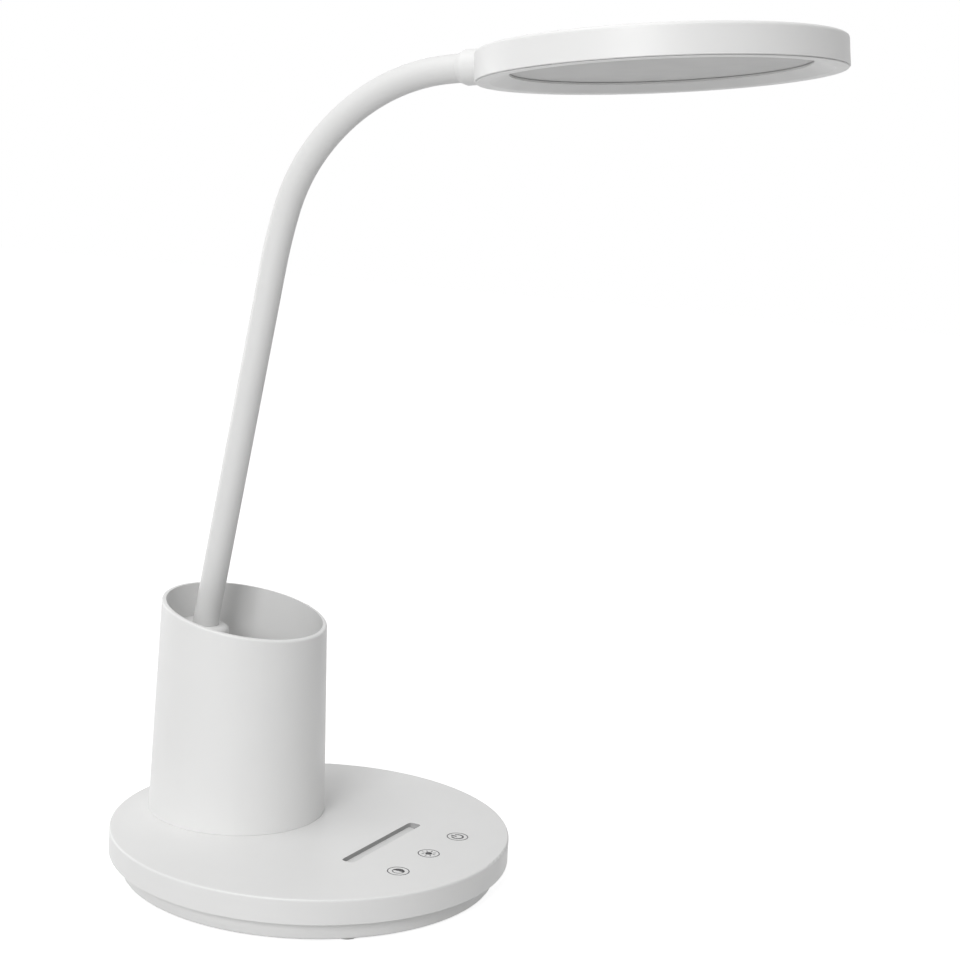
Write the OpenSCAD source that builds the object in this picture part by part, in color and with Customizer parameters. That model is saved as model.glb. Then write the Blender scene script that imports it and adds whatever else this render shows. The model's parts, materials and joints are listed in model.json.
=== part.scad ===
// Desk lamp on a round base with a slant-cut pen cup, a gooseneck and a flat round head.
// Millimetres. The origin is the centre of the base on the table. +Z is up, -Y is the
// front, where the head reaches out and the touch marks are, and the cup stands at the back.

/* [Base] */
// Diameter of the upper disc of the base
base_d = 190; // [175:1:230]
// Height of the upper disc's side
disc_h = 11.5; // [10.5:0.5:16]
// How far the lower disc is set back under the upper one
drum_set = 6.3; // [3:0.1:10]
// Height of the lower disc's side
drum_h = 9.3; // [8:0.1:14]
// Thickness of the side walls and of the floor
base_wall = 2; // [1.6:0.1:3]
// Thickness of the top plate
plate_t = 2.5; // [2:0.1:4]
// Radius of the rounded top edge
base_edge_r = 1.5; // [0.5:0.1:2]
// Diameter of each rubber foot
foot_d = 11; // [8:0.5:12]
// How far the rubber feet stand out below the floor
foot_out = 1.5; // [1:0.1:3]
// Distance from the feet's centres to the lower disc's edge
foot_inset = 7.7; // [7:0.1:12]

/* [Phone groove and touch marks] */
// Length of the groove
groove_l = 67.5; // [50:0.5:80]
// Width of the groove
groove_w = 6.4; // [5:0.1:10]
// Depth of the groove
groove_depth = 5; // [4.5:0.1:6]
// Distance from the touch marks to the front edge of the base
touch_edge = 30; // [26:0.5:36]
// Distance from the groove to the touch marks in front of it
groove_back = 25; // [20:0.5:30]
// Distance from one touch mark to the next
touch_pitch = 28; // [20:0.5:34]

/* [Pen cup] */
// Distance from the cup's foot to the back edge of the base
cup_edge = 9.05; // [4:0.05:20]
// Outer diameter of the cup at its foot
cup_d = 85.5; // [70:0.5:104]
// Draft of the cup's side, in degrees
cup_draft = 1.8; // [0:0.1:3]
// Height of the cup at its axis
cup_h = 98.2; // [85:0.1:130]
// Slant of the cup's rim, in degrees
cup_slant = 9.5; // [0:0.5:15]
// Thickness of the cup's wall
cup_wall = 2; // [1.5:0.1:3]
// Thickness of the cup's floor
cup_floor = 4; // [3:0.5:6]
// Wall of the boss in the cup, round the nut that holds the gooseneck
boss_wall = 2.5; // [2:0.1:4]
// Height of that boss above the base
boss_h = 87.7; // [72:0.1:90]
// Radius of the boss's top edge
boss_edge_r = 3; // [1:0.5:4]

/* [Gooseneck] */
// Distance from the gooseneck, where it leaves the boss, to the back of the cup's foot
arm_back = 19.95; // [18:0.05:24]
// Lean of its lower end towards the front, in degrees
arm_lean = 10; // [5:1:12]
// Outer diameter of the sleeve
sleeve_d = 12.5; // [10.5:0.1:15]
// Thickness of the sleeve's wall
sleeve_wall = 0.85; // [0.6:0.05:1.1]
// Clearance of the hose's balls in the sleeve
ball_slip = 0.4; // [0.3:0.05:0.6]
// How far each ball stands out of its hose link
ball_step = 0.4; // [0.2:0.05:0.5]
// Clearance round each ball in its socket
ball_gap = 0.3; // [0.2:0.05:0.4]
// Bore of the hose, which carries the lead
hose_bore = 5; // [4:0.1:5.4]
// Length of a link from bend point to bend point
link_len = 27.8; // [24:0.1:34]
// Length from the boss to the first bend point
first_len = 12; // [10:0.5:20]
// Length from the last bend point to the head's collar
last_len = 5; // [4:0.5:14]
// Gap between one sleeve length and the next
sleeve_gap = 2; // [1.6:0.1:3]

/* [Head] */
// Diameter of the head
head_d = 153.8; // [128:0.1:190]
// Height of the head's side band
head_h = 13; // [12.6:0.1:20]
// Thickness of the head's shell
head_wall = 1.8; // [1.5:0.1:2.5]
// Draft of the side band, in degrees
head_draft = 1.5; // [0:0.1:3]
// Radius of the rounded top edge
head_edge_r = 1.5; // [0.5:0.1:2]
// Width of the bezel's flat rim
rim_w = 6.4; // [5:0.1:12]
// Width of the bezel's sloped wall inside that rim, seen from below
slope_w = 8; // [5:0.1:12]
// Depth of that wall
recess = 3.1; // [2.4:0.05:3.4]
// Height of the shadow slot between that wall's edge and the diffuser
slot_h = 0.6; // [0.3:0.05:0.8]
// Height of the collar's lower side above the head's underside
neck_rise = 3.1; // [2.8:0.1:5]
// Wall of the collar round the sleeve
collar_wall = 1.55; // [1.4:0.05:3]
// Length of the collar behind the band
collar_l = 16.4; // [12:0.1:25]

/* [Hidden] */
$fn = 96;

white = [0.93, 0.93, 0.92];
dark_rubber = [0.75, 0.75, 0.75];
steel = [0.62, 0.63, 0.65];
board_green = [0.1, 0.4, 0.25];

eps = 0.01;
slip = 0.1;       // clearance of a screw or plug in its hole, on the radius
seat_gap = 0.2;   // clearance between nested housings

// Plan of the base
base_r = base_d / 2;
drum_r = base_r - drum_set;
foot_circle_r = drum_r - foot_inset;
touch_y = base_r - touch_edge;
groove_y = touch_y - groove_back;
cup_y = base_r - cup_edge - cup_d / 2;
arm_y = base_r - cup_edge - arm_back;

// Heights in the base
floor_z = foot_out;
step_z = floor_z + drum_h;
top_z = step_z + disc_h;
plate_z = top_z - plate_t;
floor_top = floor_z + base_wall;

// Gooseneck: each link turns the path by its own angle, so the row of links is its rest bend
link_bends = [0, 0, 0, 0, 0, 0, 7, 19, 16, 16, 16];
links = len(link_bends);
sleeve_bore = sleeve_d - 2 * sleeve_wall;
ball_d = sleeve_bore - 2 * ball_slip;
hose_d = ball_d - 2 * ball_step;
sleeve_r = sleeve_d / 2;
hose_r = hose_d / 2;
ball_r = ball_d / 2;
arm_foot = [0, arm_y, top_z + boss_h];

// Total turn before bend point i, and the direction there as an angle above the horizontal
function turned(i) = i <= 0 ? 0 : turned(i - 1) + link_bends[i - 1];
function rise(i) = 90 - arm_lean - turned(i);
function forward(a) = [0, -cos(a), sin(a)];
// Step along one link: the chord of its arc
function chord(i) = link_bends[i] == 0 ? link_len
    : 2 * link_len / (link_bends[i] * PI / 180) * sin(link_bends[i] / 2);
// Bend points 0 to 11
function bend_point(i) = i == 0 ? arm_foot + first_len * forward(rise(0))
    : bend_point(i - 1) + chord(i - 1) * forward(rise(i - 1) - link_bends[i - 1] / 2);

// Head: its frame lies at the centre of its underside, with +Y to the back
head_r = head_d / 2;
collar_d = sleeve_d + 2 * collar_wall;
neck_z = neck_rise + collar_d / 2;
head_rise = rise(links);
collar_y = head_r + collar_l;
head_place = bend_point(links) + (last_len + collar_y) * forward(head_rise)
    - neck_z * [0, sin(head_rise), cos(head_rise)];

// Foot of the gooseneck, measured down its axis from the top of the boss
ferrule_wall = 1.15;
ferrule_d = hose_d + slip + 2 * ferrule_wall;
flange_d = sleeve_d;
thread_d = ferrule_d - 1.8;
sleeve_seat = 6;
flange_t = 2;
ferrule_l = 20;
thread_l = 10;
hose_grip = 14;
nut_t = 5;
nut_d = thread_d + 6.4;
spot_d = nut_d + 1.8;
boss_d = spot_d + 2 * boss_wall;
spot_end = 40;
thread_end = sleeve_seat + ferrule_l + thread_l;
collar_seat = 4;

// Screws
m3_r = 1.5;
m3_head_r = 2.9;
m3_head_t = 1.8;
m2_r = 1;
m2_head_r = 1.9;
m2_head_t = 1.2;

// Inside the base
post_r = 3.5;
post_seat_r = 4.5;
post_circle_r = drum_r - 10.7;
post_end = floor_top + 2;
weight_d = 2 * (post_circle_r - post_seat_r - 3.5);
weight_t = 4;
weight_top = floor_top + weight_t;
weight_boss_r = 3.6;
weight_circle_r = 45;
board_l = 2 * touch_pitch + 32;
board_w = 26;
board_t = 1.6;
board_z = plate_z - 8.6;
board_y = 6 - touch_y;
board_post = [board_l / 2 - 6, 9];
spring_d = 8;
battery_size = [60, 38, 7.4];
battery_y = 6;
tape_t = 0.5;
cup_screw_r = cup_d / 2 - 11.75;
cup_screw_angles = [200, 270, 340];
inlet_z = plate_z - 3.3;
inlet_size = [9, 7.4, 3.2];
inlet_board_size = [18, 10, 1.2];
inlet_post_x = 6.5;
inlet_post_y = base_r - 11;
channel_r = boss_d / 2 - 2.9;
lead_hole = [2 * channel_r - 0.2, 14];
lead_r = 1.2;
lead_gap = 0.25;   // gap in the lead on each side of a bend point
plug_size = [7, 5, 3];
plug_x = [-29, -14, 29];

// Stack in the head, as heights above its underside
bezel_t = 1.4;
bezel_set = 0.55;   // how far the bezel is set back under the band's edge
band_z = 0.5;       // height of that edge
rabbet_z = bezel_t + seat_gap;
skirt_h = 7;
skirt_t = 1.2;
shell_bore_r = head_r - head_wall;
rabbet_r = head_r - 1;
skirt_r = shell_bore_r - seat_gap;
opening_r = head_r - rim_w;
slope_t = 1;
lip_t = 0.5;
lip_r = opening_r - slope_w;
lip_z = recess + lip_t;
diffuser_z = lip_z + slot_h;
diffuser_t = 1.2;
nib_w = 2.4;
nib_angles = [19.5:120:259.5];
stack_r = opening_r - 0.8;
guide_z = diffuser_z + diffuser_t;
guide_t = 2.1;
reflector_t = 0.3;
plate_metal_t = 0.8;
led_count = 36;
led_size = [1.2, 2.8, 2];
strip_t = 0.5;
back_z = guide_z + guide_t + reflector_t;
back_top = back_z + plate_metal_t;
board_size = [24, 12, 0.8];
head_board_y = head_r - 27 - board_size[1];
rib_r = [head_board_y - 20, head_board_y - 4];
rib_t = 1.2;
head_lead_start = 13;
core_r = 0.7;

module ring(r_out, r_in, h) {
    difference() {
        cylinder(r = r_out, h = h);
        translate([0, 0, -1]) cylinder(r = r_in, h = h + 2);
    }
}

module around(radius, angles) {
    for (a = angles) rotate([0, 0, a]) translate([radius, 0, 0]) children();
}

// A pan-head screw, head up, with the underside of its head at z = 0
module screw(r, l, head_r, head_t) {
    union() {
        translate([0, 0, -l]) cylinder(r = r, h = l + eps);
        cylinder(r = head_r, h = head_t);
    }
}

// Round-ended slot outline along X
module slot_outline(l, w) {
    square([l - w, w], center = true);
    for (x = [-1, 1]) translate([x * (l - w) / 2, 0]) circle(d = w);
}

// A tube swept along points, as one closed mesh
function unit(v) = v / norm(v);
function tangent(p, i) = unit(p[min(i + 1, len(p) - 1)] - p[max(i - 1, 0)]);
function side(t) = unit(cross(t, abs(t[0]) < 0.9 ? [1, 0, 0] : [0, 1, 0]));
function ring_points(p, i, r, n) =
    let (t = tangent(p, i), u = side(t), v = cross(t, u))
    [for (k = [0:n - 1]) p[i] + r * (cos(360 * k / n) * u + sin(360 * k / n) * v)];
module swept(p, r, n = 10) {
    m = len(p);
    points = concat([for (i = [0:m - 1]) each ring_points(p, i, r, n)], [p[0], p[m - 1]]);
    sides = [for (i = [0:m - 2], k = [0:n - 1])
        let (a = i * n + k, b = i * n + (k + 1) % n)
        each [[a, a + n, b + n], [a, b + n, b]]];
    ends = [for (k = [0:n - 1]) each [
        [m * n, k, (k + 1) % n],
        [m * n + 1, (m - 1) * n + (k + 1) % n, (m - 1) * n + k]]];
    polyhedron(points = points, faces = concat(sides, ends));
}

// ---- Base ----

// Half section of the upper disc: a plate with a rounded edge and a side wall
module top_section() {
    difference() {
        union() {
            square([base_r - base_edge_r, disc_h]);
            square([base_r, disc_h - base_edge_r]);
            translate([base_r - base_edge_r, disc_h - base_edge_r]) circle(r = base_edge_r);
        }
        translate([-1, -1]) square([base_r - base_wall + 1, disc_h - plate_t + 1]);
    }
}

module base_top_cover() {
    pocket_wall = 1.5;
    color(white) difference() {
        union() {
            translate([0, 0, step_z]) rotate_extrude() top_section();
            translate([0, -groove_y, top_z - groove_depth - pocket_wall])
                linear_extrude(groove_depth + pocket_wall - plate_t / 2)
                    slot_outline(groove_l + 2 * pocket_wall, groove_w + 2 * pocket_wall);
            around(post_circle_r, [0:90:270])
                translate([0, 0, post_end]) cylinder(r = post_r, h = plate_z - post_end + 1);
            for (x = [-1, 1], y = [-1, 1])
                translate([x * board_post[0], board_y + y * board_post[1], board_z + board_t])
                    cylinder(r = 2.6, h = plate_z - board_z - board_t + 1);
            for (x = [-1, 1])
                translate([x * inlet_post_x, inlet_post_y, inlet_z - inlet_size[2] / 2])
                    cylinder(r = 1.8, h = plate_z - inlet_z + inlet_size[2] / 2 + 1);
        }
        translate([0, -groove_y, top_z - groove_depth])
            linear_extrude(groove_depth + 1) slot_outline(groove_l, groove_w);
        around(post_circle_r, [0:90:270])
            translate([0, 0, post_end - 1]) cylinder(r = m3_r + slip, h = 11);
        for (x = [-1, 1], y = [-1, 1])
            translate([x * board_post[0], board_y + y * board_post[1], board_z])
                cylinder(r = m2_r + slip, h = 6.5);
        for (x = [-1, 1])
            translate([x * inlet_post_x, inlet_post_y, inlet_z - inlet_size[2] / 2 - 1])
                cylinder(r = m2_r + slip, h = 5);
        translate([0, cup_y, 0]) around(cup_screw_r, cup_screw_angles)
            translate([0, 0, plate_z - 1]) cylinder(r = m3_r + slip, h = plate_t + 2);
        // Way for the lead into the boss
        translate([-lead_hole[0] / 2, arm_y - lead_hole[1] / 2, plate_z - 1])
            cube([lead_hole[0], lead_hole[1], plate_t + 2]);
        // Window of the inlet
        translate([-inlet_size[0] / 2 - seat_gap, base_r - 6,
                   inlet_z - inlet_size[2] / 2 - seat_gap])
            cube([inlet_size[0] + 2 * seat_gap, 8, inlet_size[2] + 2 * seat_gap]);
    }
}

module base_bottom_cover() {
    rim_r = base_r - base_wall - seat_gap;
    color(white) difference() {
        union() {
            difference() {
                union() {
                    translate([0, 0, floor_z]) cylinder(r = drum_r, h = drum_h + eps);
                    translate([0, 0, step_z]) cylinder(r = rim_r, h = base_wall);
                }
                translate([0, 0, floor_top])
                    cylinder(r = drum_r - base_wall, h = drum_h + base_wall);
            }
            around(post_circle_r, [0:90:270])
                translate([0, 0, floor_top - 1]) cylinder(r = post_seat_r, h = post_end - floor_top + 1);
            around(weight_circle_r, [90:120:330])
                translate([0, 0, floor_top - 1]) cylinder(r = weight_boss_r, h = weight_t + 1);
        }
        around(post_circle_r, [0:90:270]) {
            translate([0, 0, floor_z - 1]) cylinder(r = m3_head_r + slip, h = m3_head_t + 1.2);
            translate([0, 0, floor_z]) cylinder(r = m3_r + slip, h = 8);
        }
        around(weight_circle_r, [90:120:330])
            translate([0, 0, floor_z + 1]) cylinder(r = m3_r + slip, h = 12);
        around(foot_circle_r, [45:90:315])
            translate([0, 0, floor_z - 1]) cylinder(d = foot_d + 2 * slip, h = 2);
    }
}

module rubber_feet() {
    rim = 0.5;
    color(dark_rubber) around(foot_circle_r, [45:90:315]) union() {
        translate([0, 0, rim]) cylinder(d = foot_d, h = floor_z + 1 - rim);
        cylinder(d1 = foot_d - 2 * rim, d2 = foot_d, h = rim);
    }
}

module weight_plate() {
    color(steel) difference() {
        translate([0, 0, floor_top]) cylinder(d = weight_d, h = weight_t);
        around(weight_circle_r, [90:120:330])
            translate([0, 0, floor_top - 1]) cylinder(r = weight_boss_r + slip, h = weight_t + 2);
    }
}

module weight_screws() {
    color(steel) around(weight_circle_r, [90:120:330])
        translate([0, 0, weight_top]) screw(m3_r, 5, m3_head_r + 2, m3_head_t);
}

module cover_screws() {
    color(steel) around(post_circle_r, [0:90:270])
        translate([0, 0, floor_z + m3_head_t + 0.2]) mirror([0, 0, 1])
            screw(m3_r, 10, m3_head_r, m3_head_t);
}

module main_board() {
    color(board_green) difference() {
        translate([-board_l / 2, board_y - board_w / 2, board_z]) cube([board_l, board_w, board_t]);
        for (x = [-1, 1], y = [-1, 1])
            translate([x * board_post[0], board_y + y * board_post[1], board_z - 1])
                cylinder(r = m2_r + slip, h = 4);
    }
}

// Controller, power coil and the plugs of the three leads on the main board
module board_parts() {
    module block(x, y, l, w, h) {
        translate([x - l / 2, board_y + y - w / 2, board_z + board_t]) cube([l, w, h]);
    }
    color("dimgray") {
        block(-14, -2, 6, 6, 1);
        block(13, 2, 5, 5, 2.6);
        for (x = plug_x) block(x, (board_w - plug_size[1]) / 2, plug_size[0], plug_size[1],
                               plug_size[2]);
    }
}

module board_screws() {
    color(steel) {
        for (x = [-1, 1], y = [-1, 1])
            translate([x * board_post[0], board_y + y * board_post[1], board_z])
                mirror([0, 0, 1]) screw(m2_r, 5, m2_head_r, m2_head_t);
        for (x = [-1, 1])
            translate([x * inlet_post_x, inlet_post_y,
                       inlet_z - inlet_size[2] / 2 - inlet_board_size[2]])
                mirror([0, 0, 1]) screw(m2_r, 4, m2_head_r, m2_head_t);
    }
}

// Sprung contacts that carry each touch mark's signal from the plate to the board
module touch_springs() {
    h = plate_z - board_z - board_t;
    color(steel) for (i = [-1:1])
        translate([i * touch_pitch, -touch_y, board_z + board_t]) union() {
            ring(spring_d / 2, spring_d / 2 - 0.7, h - 0.5);
            translate([0, 0, h - 0.5 - eps]) cylinder(d = spring_d + 1, h = 0.5 + eps);
        }
}

module battery() {
    color("lightsteelblue")
        translate([-battery_size[0] / 2, battery_y - battery_size[1] / 2, weight_top + tape_t])
            cube(battery_size);
}

module battery_tape() {
    margin = 4;
    color("gray")
        translate([-battery_size[0] / 2 + margin, battery_y - battery_size[1] / 2 + margin,
                   weight_top])
            cube([battery_size[0] - 2 * margin, battery_size[1] - 2 * margin, tape_t]);
}

module inlet_socket() {
    wall = 0.4;
    color(steel) translate([-inlet_size[0] / 2, base_r - 0.3 - inlet_size[1],
                            inlet_z - inlet_size[2] / 2]) difference() {
        cube(inlet_size);
        translate([wall, 1, wall])
            cube([inlet_size[0] - 2 * wall, inlet_size[1], inlet_size[2] - 2 * wall]);
    }
}

module inlet_board() {
    y0 = base_r - base_wall - 1 - inlet_board_size[1];
    z0 = inlet_z - inlet_size[2] / 2 - inlet_board_size[2];
    color(board_green) difference() {
        translate([-inlet_board_size[0] / 2, y0, z0]) cube(inlet_board_size);
        for (x = [-1, 1]) translate([x * inlet_post_x, inlet_post_y, z0 - 1])
            cylinder(r = m2_r + slip, h = 4);
    }
}

// ---- Pen cup ----

function cup_r(h) = cup_d / 2 - h * tan(cup_draft);
cup_tall = cup_h + cup_d;      // tall enough for the slanted cut

// Places children on the gooseneck's foot, +Z up its axis, z = 0 at the top of the boss
module at_foot() {
    translate(arm_foot) rotate([arm_lean, 0, 0]) children();
}

module boss_section(edge, r) {
    union() {
        square([r - edge, boss_h]);
        square([r, boss_h - edge]);
        translate([r - edge, boss_h - edge]) circle(r = edge);
    }
}

// The boss: a round front and straight sides that run back into the cup's wall
module boss() {
    r = boss_d / 2;
    intersection() {
        union() {
            translate([0, arm_y - cup_y, 0]) rotate([0, 0, 180])
                rotate_extrude(angle = 180) boss_section(boss_edge_r, r);
            translate([0, cup_r(0), 0]) rotate([90, 0, 0])
                linear_extrude(cup_r(0) - arm_y + cup_y) {
                    boss_section(boss_edge_r, r);
                    mirror([1, 0]) boss_section(boss_edge_r, r);
                }
        }
        cylinder(r1 = cup_r(0) - cup_wall / 2, r2 = cup_r(cup_tall) - cup_wall / 2, h = cup_tall);
    }
}

module pen_cup() {
    channel_back = 11;
    channel_h = boss_h - spot_end + 3;
    color(white) difference() {
        translate([0, cup_y, top_z]) difference() {
            union() {
                difference() {
                    cylinder(r1 = cup_r(0), r2 = cup_r(cup_tall), h = cup_tall);
                    translate([0, 0, cup_floor])
                        cylinder(r1 = cup_r(cup_floor) - cup_wall,
                                 r2 = cup_r(cup_tall) - cup_wall, h = cup_tall - cup_floor + eps);
                }
                boss();
            }
            // Slanted rim
            translate([0, 0, cup_h]) rotate([cup_slant, 0, 0])
                translate([-cup_d, -cup_d, 0]) cube([2 * cup_d, 2 * cup_d, 2 * cup_d]);
            // Channel for the lead, which runs a little way into the room for the nut
            translate([0, arm_y - cup_y, -1]) {
                cylinder(r = channel_r, h = channel_h + 1);
                translate([-channel_r, 0, 0]) cube([2 * channel_r, channel_back, channel_h + 1]);
            }
            around(cup_screw_r, cup_screw_angles)
                translate([0, 0, -1]) cylinder(r = m3_r + slip, h = cup_floor - 0.6 + 1);
        }
        at_foot() {
            translate([0, 0, -sleeve_seat - flange_t]) cylinder(d = flange_d + 4 * slip, h = 20);
            translate([0, 0, -ferrule_l - sleeve_seat - 10]) cylinder(d = ferrule_d + 2 * slip, h = 30);
            translate([0, 0, -spot_end]) cylinder(d = spot_d, h = spot_end - ferrule_l - sleeve_seat);
        }
    }
}

module cup_screws() {
    color(steel) translate([0, cup_y, plate_z]) around(cup_screw_r, cup_screw_angles)
        mirror([0, 0, 1]) screw(m3_r, 5, m3_head_r, m3_head_t);
}

// ---- Gooseneck ----

// Flanged steel end, crimped on the hose, with a threaded tail for the nut
module foot_ferrule() {
    color(steel) at_foot() difference() {
        union() {
            translate([0, 0, -sleeve_seat - flange_t]) cylinder(d = flange_d, h = flange_t);
            translate([0, 0, -sleeve_seat - ferrule_l]) cylinder(d = ferrule_d, h = ferrule_l - 1);
            translate([0, 0, -thread_end]) cylinder(d = thread_d, h = thread_l + 1);
        }
        translate([0, 0, -sleeve_seat - hose_grip]) cylinder(r = hose_r + slip / 2, h = 30);
        translate([0, 0, -thread_end - 1]) cylinder(d = hose_bore, h = 40);
    }
}

module foot_nut() {
    color(steel) at_foot() translate([0, 0, -sleeve_seat - ferrule_l - nut_t]) difference() {
        cylinder(d = nut_d, h = nut_t, $fn = 6);
        translate([0, 0, -1]) cylinder(d = thread_d + slip, h = nut_t + 2);
    }
}

// Places children at bend point i, +Z along the gooseneck
module at_bend(i) {
    translate(bend_point(i)) rotate([90 - rise(i), 0, 0]) children();
}

// A length of tube along link i, from a to b along the path, between radii
module link_tube(i, a, b, r_out, r_in = 0) {
    bend = link_bends[i];
    if (bend == 0)
        at_bend(i) translate([0, 0, a]) difference() {
            cylinder(r = r_out, h = b - a);
            if (r_in > 0) translate([0, 0, -1]) cylinder(r = r_in, h = b - a + 2);
        }
    else {
        bend_r = link_len / (bend * PI / 180);
        at_bend(i) translate([0, -bend_r, 0]) rotate([0, 0, 90]) rotate([90, 0, 0])
            rotate([0, 0, bend * a / link_len])
                rotate_extrude(angle = bend * (b - a) / link_len) translate([bend_r, 0])
                    difference() {
                        circle(r = r_out);
                        if (r_in > 0) circle(r = r_in);
                    }
    }
}

// Sleeve lengths: 0 stands in the boss, 1 to 11 cover the links, 12 ends in the collar
module gooseneck_sleeve(i) {
    gap = sleeve_gap / 2;
    r_in = sleeve_bore / 2;
    color(white)
        if (i == 0)
            at_foot() translate([0, 0, -sleeve_seat + slip])
                ring(sleeve_r, r_in, sleeve_seat - slip + first_len - gap);
        else if (i > links)
            at_bend(links) translate([0, 0, gap])
                ring(sleeve_r, r_in, last_len + collar_seat - slip - gap);
        else
            link_tube(i - 1, gap, link_len - gap, sleeve_r, r_in);
}

// Half section of a straight hose link along +Y, with its socket at 0 and its ball at l
module hose_section(l, socket, ball) {
    side_cut = hose_bore / 2;
    difference() {
        union() {
            square([hose_r, l]);
            if (ball) translate([0, l]) circle(r = ball_r);
        }
        if (socket) circle(r = ball_r + ball_gap);
        translate([-ball_d, -ball_d]) square([ball_d + side_cut, l + 2 * ball_d]);
        if (ball) translate([0, l - 1]) square([side_cut + 0.3, ball_d]);
    }
}

// Hose links: each ends in a ball that sits in the next link's socket
module hose_link(i) {
    grip = sleeve_seat + hose_grip - slip;
    if (i == 0)
        at_foot() translate([0, 0, -grip])
            rotate_extrude() hose_section(grip + first_len, false, true);
    else if (i > links)
        at_bend(links) rotate_extrude() hose_section(last_len + collar_l - seat_gap, true, false);
    else if (link_bends[i - 1] == 0)
        at_bend(i - 1) rotate_extrude() hose_section(link_len, true, true);
    else
        difference() {
            union() {
                link_tube(i - 1, 0, link_len, hose_r);
                at_bend(i) sphere(r = ball_r);
            }
            at_bend(i - 1) sphere(r = ball_r + ball_gap);
            link_tube(i - 1, 0, link_len, hose_bore / 2);
            at_bend(i) translate([0, 0, -1]) cylinder(d = hose_bore + 0.6, h = ball_r + 2);
        }
}

// The length of the lead that lies in a hose link
module lead_length(i) {
    if (i == 0)
        at_foot() translate([0, 0, -thread_end])
            cylinder(r = lead_r, h = thread_end + first_len - lead_gap);
    else if (i > links)
        at_bend(links) translate([0, 0, lead_gap])
            cylinder(r = lead_r, h = last_len + collar_l - head_lead_start - lead_gap);
    else
        link_tube(i - 1, lead_gap, link_len - lead_gap, lead_r);
}

module gooseneck_hose(i) {
    color(steel) hose_link(i);
    color("white") lead_length(i);
}

// Point on the gooseneck's axis, at depth d below the top of the boss
function foot_point(d) = arm_foot - d * forward(rise(0));

// Places a point of a lead in the base: the points were chosen for a gooseneck 66 mm behind
// the centre, touch marks 65 mm in front of it and a top plate 19.8 mm up, and follow all three
function held(p) =
    [p[0], p[1] + (p[1] > 0 ? arm_y - 66 : p[1] < -20 ? 65 - touch_y : 0), p[2] + plate_z - 19.8];
function route(points) = [for (p = points) held(p)];

// The lead to the head leaves its ferrule and runs down the boss to the main board
head_feed_route = concat([foot_point(thread_end), foot_point(thread_end + 6),
                          arm_foot + [0, 7.4, -50]], route([
    [0, 71.2, 40], [0.2, 70.2, 31], [1.6, 69.2, 24],
    [5, 67.6, 19], [11, 65, 17.4], [18, 61.4, 17.2], [25, 56, 17.2], [31, 49, 17.2],
    [35.6, 41, 17.2], [38.6, 32, 17.2], [40.2, 21, 17.2], [40.8, 10, 17.2], [41, -2, 17],
    [41, -13, 16.4], [40.6, -23, 15.4], [38.6, -32, 14.6], [34.8, -38.6, 14.3],
    [30.6, -42, 14.3], [plug_x[2], -44, 14.3], [plug_x[2], -46, 14.3]]));
inlet_feed_route = route([
    [-7, 82, 14.3], [-7, 79, 14.3], [-8.4, 71, 14.5], [-13, 62, 15], [-21, 53, 15.4],
    [-31, 44, 15.6], [-37.4, 34, 15.6], [-40.2, 22, 15.6], [-41, 8, 15.6], [-41, -6, 15.6],
    [-40.6, -19, 15.4], [-38.6, -30, 14.8], [-34.8, -38, 14.3], [-30.6, -42, 14.3],
    [plug_x[0], -44, 14.3], [plug_x[0], -46, 14.3]]);
battery_feed_route = concat([[-20, battery_y - battery_size[1] / 2, weight_top + 4.5]], route([
    [-20, -16, 12], [-19.4, -24, 12.4], [-17, -32, 13.4], [-14.8, -39, 14.2],
    [plug_x[1], -43, 14.3], [plug_x[1], -46, 14.3]]));

module base_leads() {
    color("white") for (lead = [head_feed_route, inlet_feed_route, battery_feed_route])
        swept(lead, lead_r, 8);
}

// ---- Head ----

// Places children in the head's frame: centre of the underside, +Y to the back, +Z up
module at_head() {
    translate(head_place) rotate([-head_rise, 0, 0]) children();
}

module at_neck() {
    translate([0, collar_y, neck_z]) rotate([90, 0, 0]) children();
}

module neck_ferrule() {
    l = collar_l - seat_gap - collar_seat - slip;
    color(steel) at_head() at_neck() translate([0, 0, collar_seat + slip]) difference() {
        cylinder(d = ferrule_d, h = l);
        translate([0, 0, -1]) cylinder(r = hose_r + slip / 2, h = l + 2);
    }
}

// Half section of the shell's plate and drafted band, with a rabbet that the bezel fits
module shell_section() {
    foot_cut = 0.3;
    edge = head_edge_r;
    edge_x = head_r - (head_h - edge - band_z) * tan(head_draft) - edge / cos(head_draft);
    edge_arc = [for (i = [0:8]) let (a = head_draft + i / 8 * (90 - head_draft))
        [edge_x + edge * cos(a), head_h - edge + edge * sin(a)]];
    difference() {
        polygon(concat([[0, band_z], [head_r - foot_cut, band_z], [head_r, band_z + foot_cut]],
                       edge_arc, [[0, head_h]]));
        translate([-1, 0]) square([shell_bore_r + 1, head_h - head_wall]);
        translate([-1, 0]) square([rabbet_r + 1, rabbet_z]);
    }
}

// Outline of the neck from the collar's chamfered mouth to its round end on the plate
module neck_section() {
    r = collar_d / 2;
    chamfer_l = 3.2;
    chamfer_r = 1.3;
    neck_l = collar_l + 20;
    polygon(concat([[0, 0], [r - chamfer_r, 0], [r, chamfer_l]],
        [for (a = [0:7.5:90]) [r * cos(a), neck_l - r + r * sin(a)]]));
}

module head_shell() {
    color(white) at_head() difference() {
        union() {
            rotate_extrude() shell_section();
            difference() {
                at_neck() rotate_extrude() neck_section();
                translate([0, 0, -1]) cylinder(r = shell_bore_r, h = head_h - head_wall + 1);
            }
            for (r = rib_r) translate([0, 0, back_top])
                ring(r + rib_t / 2, r - rib_t / 2, head_h - head_wall - back_top + eps);
        }
        at_neck() {
            translate([0, 0, -1]) cylinder(d = flange_d + 4 * slip, h = collar_seat + 1);
            cylinder(d = ferrule_d + slip, h = collar_l + 10);
        }
    }
}

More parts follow.
